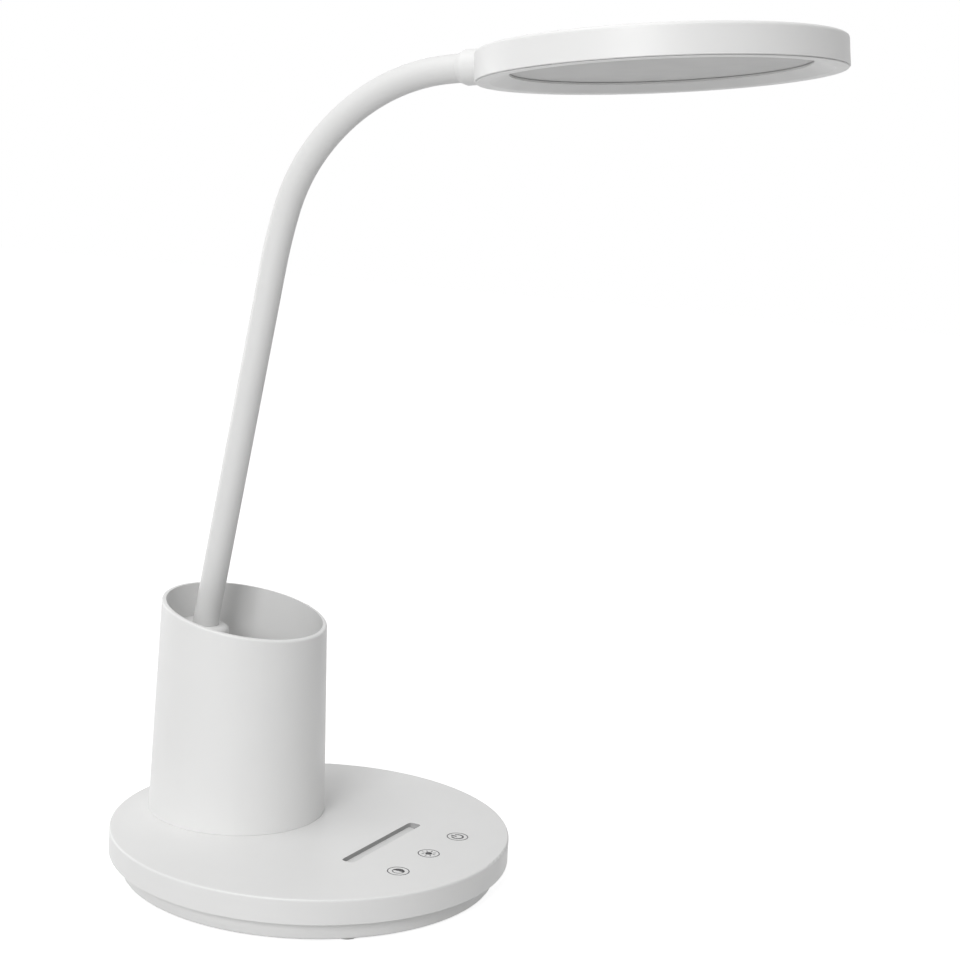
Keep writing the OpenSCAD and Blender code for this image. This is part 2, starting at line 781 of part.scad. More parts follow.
// The bezel: a flat rim that fits the band's rabbet, a skirt, a ledge that the diffuser lies
// on and a thin sloped wall, whose edge leaves a slot under the diffuser
module bezel_ring() {
    rim_r = head_r - bezel_set;
    rim_t = band_z - seat_gap;
    flange_r = rabbet_r - seat_gap;
    ledge_r = stack_r - 2;
    ledge_w = 1.2;
    slope = recess / slope_w;
    color(white) at_head() rotate_extrude() polygon([
        [opening_r, 0], [rim_r, 0], [rim_r, rim_t], [flange_r, rim_t], [flange_r, bezel_t],
        [skirt_r, bezel_t], [skirt_r, skirt_h], [skirt_r - skirt_t, skirt_h],
        [skirt_r - skirt_t, bezel_t], [ledge_r + ledge_w, bezel_t],
        [ledge_r + ledge_w, diffuser_z], [ledge_r, diffuser_z],
        [ledge_r, slope_t + (opening_r - ledge_r) * slope],
        [lip_r + (recess + slope_t - lip_z) / slope, lip_z], [lip_r, lip_z], [lip_r, recess]]);
}

// The diffuser: a frosted sheet with three nibs that stand on the sloped wall's edge
module diffuser() {
    nib_l = 1.2;
    color("whitesmoke") at_head() union() {
        translate([0, 0, diffuser_z]) cylinder(r = stack_r, h = diffuser_t);
        around(lip_r + slip, nib_angles)
            translate([0, -nib_w / 2, lip_z + slip]) cube([nib_l, nib_w, slot_h]);
    }
}

module light_guide() {
    color("azure") at_head() translate([0, 0, guide_z]) cylinder(r = stack_r, h = guide_t);
}

module reflector_sheet() {
    color("white") at_head() translate([0, 0, guide_z + guide_t])
        cylinder(r = stack_r, h = reflector_t);
}

module back_plate() {
    color(steel) at_head() translate([0, 0, back_z])
        cylinder(r = stack_r + led_size[0] + seat_gap, h = plate_metal_t);
}

module led_strip() {
    r = stack_r + seat_gap + led_size[0];
    color(board_green) at_head() translate([0, 0, guide_z]) ring(r + strip_t, r, guide_t);
}

module leds() {
    color("lightyellow") at_head() for (i = [0:led_count - 1])
        rotate([0, 0, (i + 0.5) * 360 / led_count])
            translate([stack_r + seat_gap, -led_size[1] / 2,
                       guide_z + (guide_t - led_size[2]) / 2])
                cube([led_size[0] - 0.05, led_size[1], led_size[2]]);
}

module head_board() {
    color(board_green) at_head() translate([-board_size[0] / 2, head_board_y, back_top])
        cube(board_size);
}

// The cores of the lead: how much of their drop to the board is done, and how far each point
// lies behind the band
head_lead_route = [[0, head_lead_start], [0, 9], [0, 4], [0, -2], [0.5, -8], [0.95, -13],
                   [1, -18], [1, -23], [1, head_board_y + board_size[1] - head_r]];

module head_lead() {
    drop = neck_z - back_top - board_size[2] - core_r;
    path = [for (p = head_lead_route) [0, head_r + p[1], neck_z - drop * p[0]]];
    color("white") at_head() swept(path, core_r, 8);
}

base_top_cover();
base_bottom_cover();
rubber_feet();
weight_plate();
weight_screws();
cover_screws();
main_board();
board_parts();
board_screws();
touch_springs();
battery();
battery_tape();
inlet_socket();
inlet_board();
pen_cup();
cup_screws();
foot_ferrule();
foot_nut();
base_leads();
for (i = [0:12]) gooseneck_sleeve(i);
for (i = [0:12]) gooseneck_hose(i);
neck_ferrule();
head_shell();
bezel_ring();
diffuser();
light_guide();
reflector_sheet();
back_plate();
led_strip();
leds();
head_board();
head_lead();
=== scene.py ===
# %% [markdown]
# # A white desk lamp with a pen cup, in Blender
#
# The lamp is almost one colour, so its form has to come from light and from edges. This lesson dresses
# an exact model of it: every moulded edge gets the small radius that a mould gives, the gooseneck gets
# one smooth sleeve swept through its links, and each finish is built from nodes.
#
# First the exact model is loaded. Its pieces keep their place, and everything made here is
# placed from them.

# %% Load the exact model
import json
import math

import bmesh
import bpy
from mathutils import Matrix, Vector

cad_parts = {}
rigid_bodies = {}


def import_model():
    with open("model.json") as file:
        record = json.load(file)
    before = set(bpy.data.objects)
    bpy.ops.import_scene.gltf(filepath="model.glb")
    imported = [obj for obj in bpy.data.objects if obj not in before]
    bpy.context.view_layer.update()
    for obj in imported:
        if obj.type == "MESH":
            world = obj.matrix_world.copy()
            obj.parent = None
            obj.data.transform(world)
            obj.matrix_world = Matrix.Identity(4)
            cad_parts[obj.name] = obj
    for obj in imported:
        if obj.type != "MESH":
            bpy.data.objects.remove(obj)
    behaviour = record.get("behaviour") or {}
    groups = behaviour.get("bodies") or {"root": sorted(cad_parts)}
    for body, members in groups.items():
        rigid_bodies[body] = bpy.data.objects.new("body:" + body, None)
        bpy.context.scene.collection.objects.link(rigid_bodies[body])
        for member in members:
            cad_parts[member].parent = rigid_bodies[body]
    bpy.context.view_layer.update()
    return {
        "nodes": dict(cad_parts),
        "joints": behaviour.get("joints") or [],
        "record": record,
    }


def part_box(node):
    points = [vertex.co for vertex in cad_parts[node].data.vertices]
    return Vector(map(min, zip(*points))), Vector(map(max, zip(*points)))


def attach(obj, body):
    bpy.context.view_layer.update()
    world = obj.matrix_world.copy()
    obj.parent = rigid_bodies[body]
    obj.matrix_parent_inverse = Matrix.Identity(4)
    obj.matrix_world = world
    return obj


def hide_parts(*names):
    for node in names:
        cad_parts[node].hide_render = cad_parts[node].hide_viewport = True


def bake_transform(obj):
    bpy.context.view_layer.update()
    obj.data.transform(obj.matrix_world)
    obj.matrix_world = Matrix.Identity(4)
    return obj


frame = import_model()
nodes = frame["nodes"]
MM = 0.001

# %% [markdown]
# ## The camera
#
# The camera stands to the lamp's left and a little in front, at the height of the bend in its
# neck. Its lens is a long one, so the base and the head keep nearly the same scale.

# %% Camera
CAMERA_AT = Vector((-733.72, -463.68, 334.71)) * MM
LOOK = Vector((0.87471, 0.45722, -0.16069))
RIGHT = Vector((0.47090, -0.88022, 0.05880))
LENS_MM = 70.73
SENSOR_MM = 36.0


def add_camera():
    data = bpy.data.cameras.new("photo_camera")
    data.lens, data.sensor_width = LENS_MM, SENSOR_MM
    camera = bpy.data.objects.new("photo_camera", data)
    back = -LOOK.normalized()
    up = back.cross(RIGHT).normalized()
    side = up.cross(back)
    turned = Matrix((side, up, back)).transposed().to_4x4()
    camera.matrix_world = Matrix.Translation(CAMERA_AT) @ turned
    bpy.context.scene.collection.objects.link(camera)
    bpy.context.scene.camera = camera


add_camera()

# %% [markdown]
# ## Light and floor
#
# White things show their form only if one side is clearly brighter. The key lamp stands a little
# to the camera's left, so the cup and the band are brightest on that side and fall off to the
# right. A weak lamp overhead lights the base's top, and a low one behind on the left lights the
# sloped wall at the head's far end. The world gives the rest. The floor adds light of its own for
# the camera only: it is plain white like the world behind it, and the base's shadow stays.

# %% World and lamps
WORLD_LEVEL = 0.42
LAMPS = {  # name: (degrees to the camera's right, degrees up, distance and width in metres, watts)
    "key": (-18, 22, 2.2, 0.8, 20.6),
    "overhead": (-60, 70, 1.6, 1.0, 8.8),
    "low_left": (-125, -1, 1.4, 0.5, 3.0),
}
LAMPS_AIM = Vector((0, -0.05, 0.2))  # a little in front of the neck, half way up


def join(tree, *pairs):
    """Links the first socket of each pair to the second."""
    for source, target in pairs:
        tree.links.new(source, target)


def plain_rays(tree):
    """A socket that is 1 for the rays that should meet the plain white backdrop."""
    path = tree.nodes.new("ShaderNodeLightPath")
    result = path.outputs["Is Camera Ray"]
    for kind in ("Is Glossy Ray", "Is Transmission Ray"):
        either = tree.nodes.new("ShaderNodeMath")
        either.operation = "MAXIMUM"
        join(tree, (result, either.inputs[0]), (path.outputs[kind], either.inputs[1]))
        result = either.outputs[0]
    return result


def light_world():
    world = bpy.data.worlds.new("studio")
    world.use_nodes = True
    tree = world.node_tree
    surroundings = tree.nodes["Background"]
    surroundings.inputs["Color"].default_value = (1, 1, 1, 1)
    surroundings.inputs["Strength"].default_value = WORLD_LEVEL
    backdrop = tree.nodes.new("ShaderNodeBackground")
    backdrop.inputs["Color"].default_value = (1, 1, 1, 1)
    mix = tree.nodes.new("ShaderNodeMixShader")
    join(
        tree,
        (plain_rays(tree), mix.inputs["Fac"]),
        (surroundings.outputs[0], mix.inputs[1]),
        (backdrop.outputs[0], mix.inputs[2]),
        (mix.outputs[0], tree.nodes["World Output"].inputs["Surface"]),
    )
    bpy.context.scene.world = world


def add_lamps():
    up = Vector((0, 0, 1))
    towards = -Vector((LOOK.x, LOOK.y, 0)).normalized()
    right = up.cross(towards)
    for name, (turn, rise, away, width, watts) in LAMPS.items():
        data = bpy.data.lights.new(name, "AREA")
        data.size, data.energy = width, watts
        lamp = bpy.data.objects.new(name, data)
        turn, rise = math.radians(turn), math.radians(rise)
        level = math.sin(turn) * right + math.cos(turn) * towards
        lamp.location = LAMPS_AIM + away * (math.cos(rise) * level + math.sin(rise) * up)
        lamp.rotation_mode = "QUATERNION"
        lamp.rotation_quaternion = (LAMPS_AIM - lamp.location).to_track_quat("-Z", "Y")
        bpy.context.scene.collection.objects.link(lamp)
        print(name, "at", [round(v, 2) for v in lamp.location])


light_world()
add_lamps()
bpy.context.scene.view_settings.view_transform = "Standard"

# %% Floor
FLOOR_SIZE = 8.0
FLOOR_GREY = 0.56
FLOOR_SEEN_GREY = 0.5
FLOOR_OWN_LIGHT = 0.83
FLOOR_ROUGHNESS = 0.9


def floor_material():
    material = bpy.data.materials.new("pale_floor")
    material.use_nodes = True
    tree = material.node_tree
    matte = tree.nodes["Principled BSDF"]
    matte.inputs["Base Color"].default_value = (FLOOR_GREY, FLOOR_GREY, FLOOR_GREY, 1)
    matte.inputs["Roughness"].default_value = FLOOR_ROUGHNESS
    seen = tree.nodes.new("ShaderNodeBsdfDiffuse")
    seen.inputs["Color"].default_value = (FLOOR_SEEN_GREY, FLOOR_SEEN_GREY, FLOOR_SEEN_GREY, 1)
    own_light = tree.nodes.new("ShaderNodeEmission")
    own_light.inputs["Strength"].default_value = FLOOR_OWN_LIGHT
    both = tree.nodes.new("ShaderNodeAddShader")
    mix = tree.nodes.new("ShaderNodeMixShader")
    join(
        tree,
        (seen.outputs[0], both.inputs[0]),
        (own_light.outputs[0], both.inputs[1]),
        (plain_rays(tree), mix.inputs["Fac"]),
        (matte.outputs[0], mix.inputs[1]),
        (both.outputs[0], mix.inputs[2]),
        (mix.outputs[0], tree.nodes["Material Output"].inputs["Surface"]),
    )
    return material


def add_floor():
    half = FLOOR_SIZE / 2
    mesh = bpy.data.meshes.new("floor")
    mesh.from_pydata([(-half, -half, 0), (half, -half, 0), (half, half, 0), (-half, half, 0)],
                     [], [(0, 1, 2, 3)])
    mesh.materials.append(floor_material())
    floor = bpy.data.objects.new("floor", mesh)
    bpy.context.scene.collection.objects.link(floor)


add_floor()

# %% [markdown]
# ## The white plastic
#
# The housing is one moulded plastic in a fine matte finish. It isn't flat: the mould's spark
# marks give a grain of a third of a millimetre, and the gloss wanders slowly over a hand's width.
# The grain goes into the bump, the wandering into roughness and, very slightly, into the colour.

# %% Node helpers
NOISE_LOW = 0.3    # nearly all values of a noise lie between these two
NOISE_HIGH = 0.7


def new_material(name):
    material = bpy.data.materials.new(name)
    material.use_nodes = True
    return material, material.node_tree, material.node_tree.nodes["Principled BSDF"]


def noise(tree, size, detail=2.0, stretch=None):
    """Noise whose spots are about size across, in metres, on the piece's own coordinates."""
    place = tree.nodes.new("ShaderNodeTexCoord")
    texture = tree.nodes.new("ShaderNodeTexNoise")
    texture.inputs["Scale"].default_value = 1.0 / size
    texture.inputs["Detail"].default_value = detail
    source = place.outputs["Object"]
    if stretch:
        mapping = tree.nodes.new("ShaderNodeMapping")
        mapping.inputs["Scale"].default_value = stretch
        tree.links.new(source, mapping.inputs["Vector"])
        source = mapping.outputs["Vector"]
    tree.links.new(source, texture.inputs["Vector"])
    return texture.outputs["Fac"]


def spread(tree, factor, low, high):
    """Turns a factor round 0.5 into a value from low to high."""
    node = tree.nodes.new("ShaderNodeMapRange")
    limits = {"From Min": NOISE_LOW, "From Max": NOISE_HIGH, "To Min": low, "To Max": high}
    for limit, value in limits.items():
        node.inputs[limit].default_value = value
    tree.links.new(factor, node.inputs["Value"])
    return node.outputs["Result"]


def tint(tree, factor, dark, light):
    """A colour between dark and light, by the factor."""
    ramp = tree.nodes.new("ShaderNodeValToRGB")
    for stop, place, colour in zip(ramp.color_ramp.elements, (NOISE_LOW, NOISE_HIGH), (dark, light)):
        stop.position = place
        stop.color = (*colour, 1)
    tree.links.new(factor, ramp.inputs["Fac"])
    return ramp.outputs["Color"]


def grain(tree, shader, height, depth):
    bump = tree.nodes.new("ShaderNodeBump")
    bump.inputs["Distance"].default_value = depth
    bump.inputs["Strength"].default_value = 1.0
    join(tree, (height, bump.inputs["Height"]), (bump.outputs["Normal"], shader.inputs["Normal"]))


# %% Two kinds of finish
GRAIN_SIZE = 0.35 * MM
GRAIN_DEPTH = 0.004 * MM
TINT_SPOTS = 45 * MM       # size of the slow changes in a moulded plastic's colour
GLOSS_SPOTS = 12 * MM      # and in its gloss
TINT_DARKEST = 0.985
GLOSS_WANDER = 0.04
WEAR_SPOTS = 3 * MM        # size of the worn spots on the pieces inside
WEAR_DARKEST = 0.92
WEAR_WANDER = 0.08
WEAR_DEPTH = 0.01 * MM


def moulded_plastic(name, colour, rough, grain_size=GRAIN_SIZE, grain_depth=GRAIN_DEPTH):
    material, tree, shader = new_material(name)
    shade = tint(tree, noise(tree, TINT_SPOTS), [c * TINT_DARKEST for c in colour], colour)
    gloss = spread(tree, noise(tree, GLOSS_SPOTS, 3), rough - GLOSS_WANDER, rough + GLOSS_WANDER)
    join(tree, (shade, shader.inputs["Base Color"]), (gloss, shader.inputs["Roughness"]))
    grain(tree, shader, noise(tree, grain_size, 1), grain_depth)
    return material


def plain_finish(name, colour, rough, metallic=0.0, streak=None):
    """A finish for pieces inside the lamp: a little wear in gloss, or drawn streaks on metal."""
    material, tree, shader = new_material(name)
    shader.inputs["Metallic"].default_value = metallic
    spots = noise(tree, WEAR_SPOTS, 3, streak)
    shade = tint(tree, spots, [c * WEAR_DARKEST for c in colour], colour)
    gloss = spread(tree, spots, rough - WEAR_WANDER, rough + WEAR_WANDER)
    join(tree, (shade, shader.inputs["Base Color"]), (gloss, shader.inputs["Roughness"]))
    grain(tree, shader, spots, WEAR_DEPTH)
    return material


# %% The finish of each material slot
WHITE = (0.80, 0.80, 0.795)
finishes = {
    "white_shell": moulded_plastic("white_matte_plastic", WHITE, 0.42),
    "soft_sleeve": moulded_plastic("silicone_sleeve", (0.755, 0.755, 0.75), 0.5, 0.6 * MM),
    "foot_rubber": moulded_plastic("foot_rubber", (0.5, 0.5, 0.49), 0.75, 0.2 * MM),
    "hose_steel": plain_finish("hose_steel", (0.55, 0.55, 0.56), 0.3, 1.0, (1, 1, 12)),
    "weight_steel": plain_finish("zinc_plate", (0.5, 0.51, 0.53), 0.42, 1.0),
    "screw_steel": plain_finish("zinc_screws", (0.6, 0.61, 0.63), 0.28, 1.0),
    "board_green": plain_finish("solder_mask", (0.02, 0.16, 0.07), 0.3),
    "chip_black": plain_finish("black_packages", (0.02, 0.02, 0.022), 0.5),
    "spring_steel": plain_finish("spring_wire", (0.65, 0.65, 0.66), 0.22, 1.0),
    "battery_foil": plain_finish("battery_foil", (0.6, 0.63, 0.68), 0.35, 0.8),
    "foam_tape": plain_finish("foam_tape", (0.12, 0.12, 0.12), 0.9),
    "inlet_metal": plain_finish("inlet_metal", (0.7, 0.7, 0.71), 0.25, 1.0),
    "lead_white": plain_finish("lead_sheath", (0.7, 0.7, 0.69), 0.5),
    "frosted_diffuser": moulded_plastic("frosted_diffuser", (0.56, 0.56, 0.555), 0.5),
    "clear_guide": plain_finish("clear_guide", (0.8, 0.86, 0.88), 0.12),
    "white_reflector": plain_finish("white_film", (0.88, 0.88, 0.88), 0.5),
    "plain_aluminium": plain_finish("aluminium_sheet", (0.72, 0.73, 0.74), 0.35, 1.0, (1, 14, 1)),
    "led_lens": plain_finish("led_lens", (0.9, 0.72, 0.2), 0.2),
}

slot_of = {row["node"]: row["material_slot"] for row in frame["record"]["subparts"]}
for name, node in nodes.items():
    node.data.materials.clear()
    node.data.materials.append(finishes[slot_of[name]])
print(len(finishes), "finishes on", len(nodes), "pieces")

# %% [markdown]
# ## Pieces made here
#
# Most pieces made in this lesson end the same way: their modifiers become a plain mesh, they take the
# finish and slot of the exact piece that they stand for, and they ride on that piece's body. The
# sleeve's single tubes ride on no body.

# %% Helpers for finished pieces
body_of = {name: body for body, names in frame["record"]["behaviour"]["bodies"].items()
           for name in names}


def piece_from(name, mesh):
    piece = bpy.data.objects.new(name, mesh)
    bpy.context.scene.collection.objects.link(piece)
    return piece


def settle(piece):
    """Turns a piece's modifiers into its plain mesh."""
    bpy.context.view_layer.update()
    evaluated = piece.evaluated_get(bpy.context.evaluated_depsgraph_get())
    mesh = bpy.data.meshes.new_from_object(evaluated)
    piece.modifiers.clear()
    piece.data = mesh
    return piece


def dress(piece, node_name, *also):
    """Gives a piece the finish of the node it stands for, and hides that node and the others named."""
    slot = slot_of[node_name]
    piece.data.materials.clear()
    piece.data.materials.append(finishes[slot])
    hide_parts(node_name, *also)
    return piece


# %% [markdown]
# ## The sleeve of the gooseneck
#
# The real sleeve is one silicone tube over a steel hose. The exact model has one short length
# for each link, with a gap at every bend point, so that the lengths can turn. A tube that is
# drawn as one would tear there. So the tube is swept in pieces, each from the middle of one link
# to the middle of the next, and each bends across the hinge between them.
#
# Its path is worked out from the hinges: the first links run straight, and each later one is an
# arc that starts in the direction in which the last one ended.

# %% The path through the hinges
STRAIGHT_TURN = 1e-5    # radians; a link that turns less than this is straight
hinges = [Vector(joint["pos_m"]) for joint in frame["joints"]]
links = [joint["parent"] for joint in frame["joints"]] + [frame["joints"][-1]["child"]]


def direction(angle):
    """Unit vector in the lamp's middle plane, at an angle above the way to the front."""
    return Vector((0, -math.cos(angle), math.sin(angle)))


def angle_of(step):
    return math.atan2(step.z, -step.y)


tangents = [angle_of(hinges[1] - hinges[0])]
for start, end in zip(hinges, hinges[1:]):
    tangents.append(2 * angle_of(end - start) - tangents[-1])


def on_link(i, share):
    """Point on the arc from hinge i to the next, at a share of its length."""
    turn = tangents[i + 1] - tangents[i]
    chord = (hinges[i + 1] - hinges[i]).length
    if abs(turn) < STRAIGHT_TURN:
        return hinges[i] + share * chord * direction(tangents[i])
    radius = chord / (2 * math.sin(turn / 2))
    part = share * turn
    return hinges[i] + 2 * radius * math.sin(part / 2) * direction(tangents[i] + part / 2)


turns = [round(math.degrees(a - b), 1) for a, b in zip(tangents, tangents[1:])]
print("bends of the links, degrees:", turns)

# %% A Geometry Nodes tree that sweeps a tube
def add_input(tree, name, kind, value=None):
    socket = tree.interface.new_socket(name, in_out="INPUT", socket_type=kind)
    if value is not None:
        socket.default_value = value
    return socket


def sweep_tree():
    """Path edges in, a round tube along them out."""
    tree = bpy.data.node_groups.new("sweep_tube", "GeometryNodeTree")
    add_input(tree, "Path", "NodeSocketGeometry")
    add_input(tree, "Radius", "NodeSocketFloat", 6 * MM)
    add_input(tree, "Sides", "NodeSocketInt", 48)
    add_input(tree, "Material", "NodeSocketMaterial")
    tree.interface.new_socket("Tube", in_out="OUTPUT", socket_type="NodeSocketGeometry")
    given = tree.nodes.new("NodeGroupInput")
    result = tree.nodes.new("NodeGroupOutput")
    curve = tree.nodes.new("GeometryNodeMeshToCurve")
    circle = tree.nodes.new("GeometryNodeCurvePrimitiveCircle")
    tube = tree.nodes.new("GeometryNodeCurveToMesh")
    smooth = tree.nodes.new("GeometryNodeSetShadeSmooth")
    real = tree.nodes.new("GeometryNodeRealizeInstances")
    paint = tree.nodes.new("GeometryNodeSetMaterial")
    join(
        tree,
        (given.outputs["Path"], curve.inputs["Mesh"]),
        (given.outputs["Sides"], circle.inputs["Resolution"]),
        (given.outputs["Radius"], circle.inputs["Radius"]),
        (curve.outputs["Curve"], tube.inputs["Curve"]),
        (circle.outputs["Curve"], tube.inputs["Profile Curve"]),
        (tube.outputs["Mesh"], smooth.inputs["Geometry"]),
        (smooth.outputs["Geometry"], real.inputs["Geometry"]),
        (real.outputs["Geometry"], paint.inputs["Geometry"]),
        (given.outputs["Material"], paint.inputs["Material"]),
        (paint.outputs["Geometry"], result.inputs["Tube"]),
    )
    return tree


def use_tree(piece, tree, **values):
    """Adds the tree as a modifier and sets its named inputs by their identifiers."""
    modifier = piece.modifiers.new(tree.name, "NODES")
    modifier.node_group = tree
    identifiers = {item.name: item.identifier for item in tree.interface.items_tree
                   if item.item_type == "SOCKET" and item.in_out == "INPUT"}
    for name, value in values.items():
        modifier[identifiers[name]] = value
    return modifier


# %% The path of each piece of the sleeve
SLEEVE_IN_BOSS = 17.9 * MM    # from the first hinge down to the sleeve's foot
SLEEVE_IN_COLLAR = 8.9 * MM   # from the last hinge to the end in the collar
PATH_STEPS = 16               # for each half of a piece
END_STEP = 0.02 * MM          # an end ring has this short step, so that it faces along the path
LAST_HINGE = len(hinges) - 1


def sleeve_path(k):
    """Points from the middle of the link before hinge k to the middle of the link after it."""
    steps = [i / PATH_STEPS for i in range(PATH_STEPS + 1)]
    first_way = last_way = tangents[k]
    if k == 0:
        before = [hinges[0] - (1 - s) * SLEEVE_IN_BOSS * direction(tangents[0]) for s in steps]
    else:
        before = [on_link(k - 1, 0.5 + s / 2) for s in steps]
        first_way = (tangents[k - 1] + tangents[k]) / 2
    if k == LAST_HINGE:
        after = [hinges[k] + s * SLEEVE_IN_COLLAR * direction(tangents[k]) for s in steps[1:]]
    else:
        after = [on_link(k, s / 2) for s in steps[1:]]
        last_way = (tangents[k] + tangents[k + 1]) / 2
    path = before + after
    path.insert(1, path[0] + END_STEP * direction(first_way))
    path.insert(-1, path[-1] - END_STEP * direction(last_way))
    return path


# %% Sweep one tube
SLEEVE_WALL = 0.85 * MM
SLEEVE_SIDES = 56
SLEEVE_SHARP = 40             # degrees; only the tube's end edges are this sharp
sleeve_low, sleeve_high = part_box("gooseneck_sleeve_1")
SLEEVE_R = (sleeve_high.x - sleeve_low.x) / 2
sweep = sweep_tree()


def swept_tube(name, points, ball_at=None, onward=None):
    """A tube along the points. Past ball_at, in the way onward, it closes in like a ball."""
    mesh = bpy.data.meshes.new("sleeve_path")
    mesh.from_pydata(points, [(i, i + 1) for i in range(len(points) - 1)], [])
    piece = piece_from(name, mesh)
    use_tree(piece, sweep, Radius=SLEEVE_R, Sides=SLEEVE_SIDES, Material=finishes["soft_sleeve"])
    settle(piece)
    for vertex in piece.data.vertices if ball_at else ():
        past = (vertex.co - ball_at).dot(onward)
        if past > 0:
            middle = ball_at + past * onward
            out = (vertex.co - middle).normalized()
            vertex.co = middle + math.sqrt(SLEEVE_R ** 2 - past ** 2) * out
    wall = piece.modifiers.new("wall", "SOLIDIFY")
    wall.thickness, wall.offset = SLEEVE_WALL, -1
    settle(piece)
    piece.data.set_sharp_from_angle(angle=math.radians(SLEEVE_SHARP))
    return piece


# %% [markdown]
# Worked out from the moves of its two links, a bend has no clear answer at the fourth and the last hinge
# with every joint at its limit, and a piece there would land beside the neck. Here no piece bends with
# its links: the fourth is two stiff halves, each riding on its own link, and lips that are part of one
# ball close the corner; the others are single tubes, curved across their hinge.

# %% The pieces, one or two for each hinge
SPLIT_AT = 3                  # the fourth hinge, counted from 0
BALL_LIP = [0.3 * MM, 0.6 * MM, 0.9 * MM, 1.2 * MM]   # rings past the hinge


def sleeve_piece(k):
    """The sleeve at hinge k as one tube, curved across the hinge. The last also stands for the end
    beyond it.
    """
    piece = swept_tube(f"sleeve_{k:02d}", sleeve_path(k))
    beyond = [f"gooseneck_sleeve_{k + 1}"] if k == LAST_HINGE else []
    dress(piece, f"gooseneck_sleeve_{k}", *beyond)
    if k == LAST_HINGE:
        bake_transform(piece)
    else:
        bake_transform(piece)
    return piece


def stiff_halves(k):
    """The sleeve at hinge k as two stiff halves, each with a lip that is part of one ball."""
    path, way = sleeve_path(k), direction(tangents[k])
    middle = PATH_STEPS + 1
    lower_path = path[:middle + 1] + [hinges[k] + d * way for d in BALL_LIP]
    lower = swept_tube(f"sleeve_{k:02d}", lower_path, hinges[k], way)
    dress(lower, f"gooseneck_sleeve_{k}")
    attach(lower, links[k])
    upper_path = [hinges[k] - d * way for d in reversed(BALL_LIP)] + path[middle:]
    upper = swept_tube(f"sleeve_{k:02d}_upper", upper_path, hinges[k], -way)
    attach(upper, links[k + 1])
    return [lower, upper]


sleeve = [sleeve_piece(k) for k in range(len(hinges)) if k != SPLIT_AT] + stiff_halves(SPLIT_AT)
print("sleeve pieces:", len(sleeve), "faces each:", len(sleeve[0].data.polygons))

# %% [markdown]
# ## Rounded edges
#
# A moulded housing has no sharp edge, and the thin bright or dark line on each edge is most of
# what tells plastic from paper. The exact pieces have their main roundings already. Here a copy
# of each is cleaned, the edges that a mould would round are marked with a weight, and one bevel
# rounds them. The exact piece itself is never changed.

# %% Soften chosen edges of a copy
SEAM = 0.002 * MM
FLAT_DEGREES = 0.3     # faces that differ by less become one
EDGE_DEGREES = 18      # an edge is rounded only if it turns by more
SHARP_DEGREES = 35     # an edge stays sharp to the eye if it turns by more


def clean_copy(node_name):
    """A welded copy of a node's mesh, as a bmesh, with flat regions as single faces."""
    mesh = nodes[node_name].data.copy()
    if "custom_normal" in mesh.attributes:
        mesh.attributes.remove(mesh.attributes["custom_normal"])
    work = bmesh.new()
    work.from_mesh(mesh)
    bmesh.ops.remove_doubles(work, verts=work.verts, dist=SEAM)
    bmesh.ops.dissolve_limit(work, angle_limit=math.radians(FLAT_DEGREES),
                             verts=work.verts, edges=work.edges)
    bpy.data.meshes.remove(mesh)
    return work


def softened(node_name, roundings, segments=4, least_turn=EDGE_DEGREES, reshape=None):
    """A copy of a node with some edges rounded: each rounding is a width and a test of an edge."""
    work = clean_copy(node_name)
    for vertex in work.verts if reshape else ():
        vertex.co = reshape(vertex.co)
    weights = work.edges.layers.float.new("bevel_weight_edge")
    widest = max(width for width, _ in roundings)
    count = 0
    for edge in work.edges:
        if len(edge.link_faces) != 2 or edge.calc_face_angle() < math.radians(least_turn):
            continue
        for width, chosen in roundings:
            if chosen(edge):
                edge[weights] = width / widest
                count += 1
    mesh = bpy.data.meshes.new(node_name)
    work.to_mesh(mesh)
    work.free()
    piece = piece_from(f"{node_name}_soft", mesh)
    mesh.shade_smooth()
    bevel = piece.modifiers.new("edges", "BEVEL")
    bevel.limit_method = "WEIGHT"
    bevel.width, bevel.segments = widest, segments
    bevel.use_clamp_overlap = False
    bevel.miter_outer = "MITER_ARC"
    settle(piece)
    piece.data.set_sharp_from_angle(angle=math.radians(SHARP_DEGREES))
    normals = piece.modifiers.new("normals", "WEIGHTED_NORMAL")
    normals.keep_sharp = True
    settle(piece)
    dress(piece, node_name)
    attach(piece, body_of[node_name])
    print(node_name, "edges rounded:", count, "faces:", len(piece.data.polygons))
    return piece


# %% Tests that pick an edge
FLAT_SLACK = 0.02 * MM
RIM_SLACK = 0.05 * MM


def flat_at(edge, z):
    return all(abs(vertex.co.z - z) < FLAT_SLACK for vertex in edge.verts)


def reach(edge):
    """How far an edge lies from the base's axis."""
    return min(vertex.co.xy.length for vertex in edge.verts)


# %% [markdown]
# ## The base's covers
#
# The groove that holds a phone has nearly square ends. Little light reaches its walls, so they are
# painted a darker grey as painted shade. Its floor rises to the back, where a phone leans. The exact
# model's groove is rounder at its ends, so the copy's corners are moved out before its edges are
# rounded.

# %% Sizes of the base
top_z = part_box("base_top_cover")[1].z
step_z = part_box("base_top_cover")[0].z
base_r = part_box("base_top_cover")[1].x
floor_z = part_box("base_bottom_cover")[0].z
DRUM_SET_BACK = 6.4 * MM       # the lower disc's foot is at least this far inside the rim
GROOVE_Y = -40 * MM
GROOVE_HALF_L = 33.75 * MM
GROOVE_HALF_W = 3.2 * MM
GROOVE_DEPTH = 5 * MM
GROOVE_BACK_DEPTH = 2.2 * MM
GROOVE_SHORTER = 2.2 * MM      # at each end
GROOVE_ZONE_R = 60 * MM        # the groove lies within this distance of the base's axis
TOP_EDGE_R = 1.5 * MM
SQUARER = 0.6                  # 1 keeps a corner round, 0 makes it square


